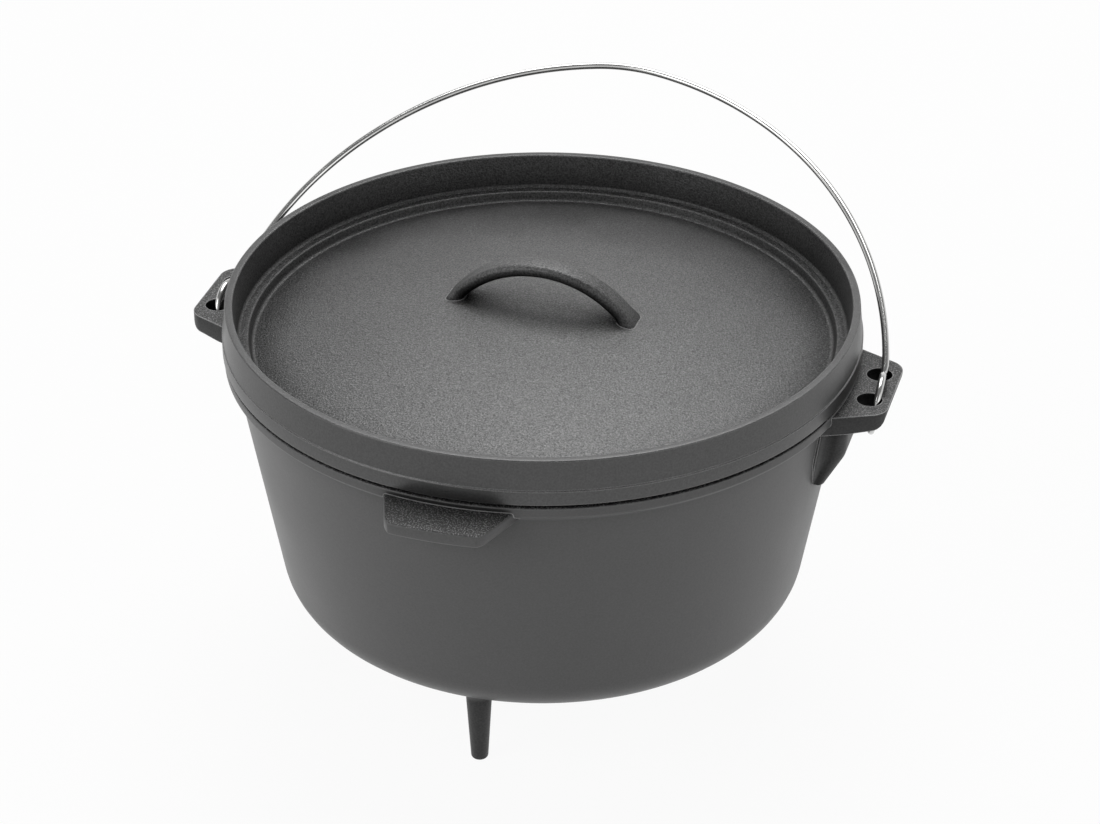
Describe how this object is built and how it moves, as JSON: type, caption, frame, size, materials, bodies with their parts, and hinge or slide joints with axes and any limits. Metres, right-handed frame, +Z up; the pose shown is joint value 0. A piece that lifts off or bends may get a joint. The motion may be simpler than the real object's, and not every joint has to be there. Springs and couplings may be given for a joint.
{
  "type": "camp dutch oven",
  "caption": "Footed cast-iron camp oven with a flanged coal-holding lid, arched lid handle, side ears, pouring grips and a folding wire bail.",
  "frame": {"origin": "on the ground, midway between the outer edges of the ears and of the grips, under the pot's axis", "axes": "+Z up, +X from ear to ear along the bail's pivot axis, -Y towards the front grip and the front leg"},
  "size_m": [0.364, 0.3668, 0.266],
  "materials": {
    "cast_iron_pot": "pre-seasoned sand-cast iron, satin",
    "cast_iron_lid": "pre-seasoned sand-cast iron, satin, fine grain",
    "bail_wire": "polished bright steel wire"
  },
  "bodies": {
    "pot": {"pot": "cast_iron_pot"},
    "lid": {"lid": "cast_iron_lid"},
    "bail": {"bail": "bail_wire"}
  },
  "joints": [
    {"name": "lid_lift", "type": "slide", "parent": "pot", "child": "lid", "axis": [0, 0, 1], "range_m": [0, 0.01]},
    {"name": "bail_swing", "type": "hinge", "parent": "pot", "child": "bail", "pos_m": [0, 0, 0.1723], "axis": [1, 0, 0], "range_deg": [0, 118]}
  ]
}
